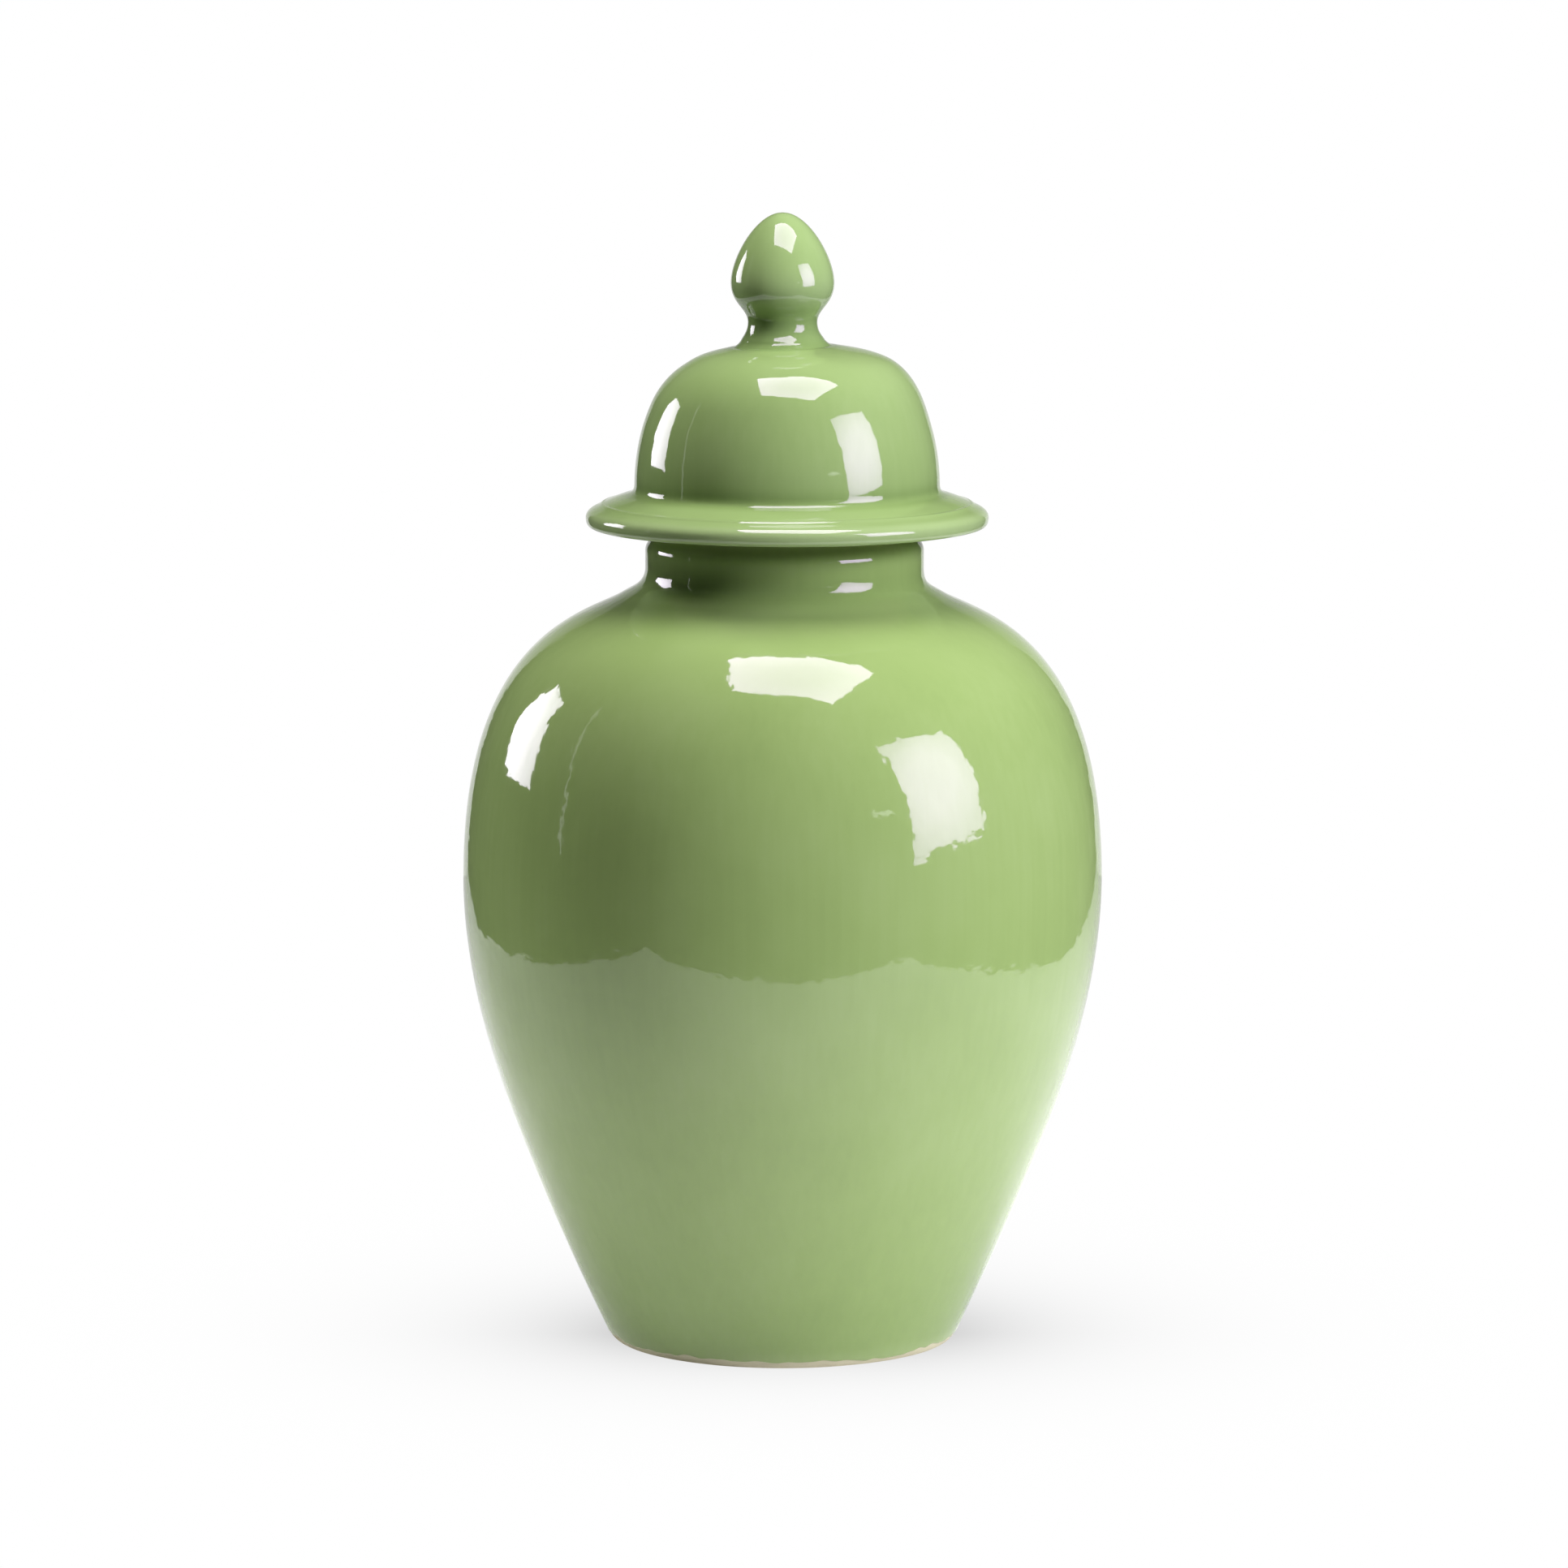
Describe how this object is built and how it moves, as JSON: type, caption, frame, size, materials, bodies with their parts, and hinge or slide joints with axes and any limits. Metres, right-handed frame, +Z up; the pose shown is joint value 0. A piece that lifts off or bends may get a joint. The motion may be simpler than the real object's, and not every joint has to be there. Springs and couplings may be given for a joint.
{
  "type": "ginger jar",
  "caption": "Tall lidded jar with a tapered foot, full belly, short neck, and a loose domed lid with a sloping brim and a knob finial.",
  "frame": {"origin": "centre of the foot's underside, at floor level", "axes": "+Z up along the jar's axis, -Y towards the front view; the jar is round, so X and Y are free to turn"},
  "size_m": [0.315, 0.315, 0.558],
  "materials": {
    "green_glaze": "gloss",
    "bare_clay": "matte"
  },
  "bodies": {
    "jar": {"foot_ring": "bare_clay", "lower_bowl": "green_glaze", "upper_bowl": "green_glaze", "neck_ring": "green_glaze"},
    "lid": {"locating_collar": "bare_clay", "lid_brim": "green_glaze", "lid_dome": "green_glaze", "finial": "green_glaze"}
  },
  "joints": [
    {"name": "lid_lift", "type": "slide", "parent": "jar", "child": "lid", "axis": [0, 0, 1], "range_m": [0, 0.16]}
  ]
}
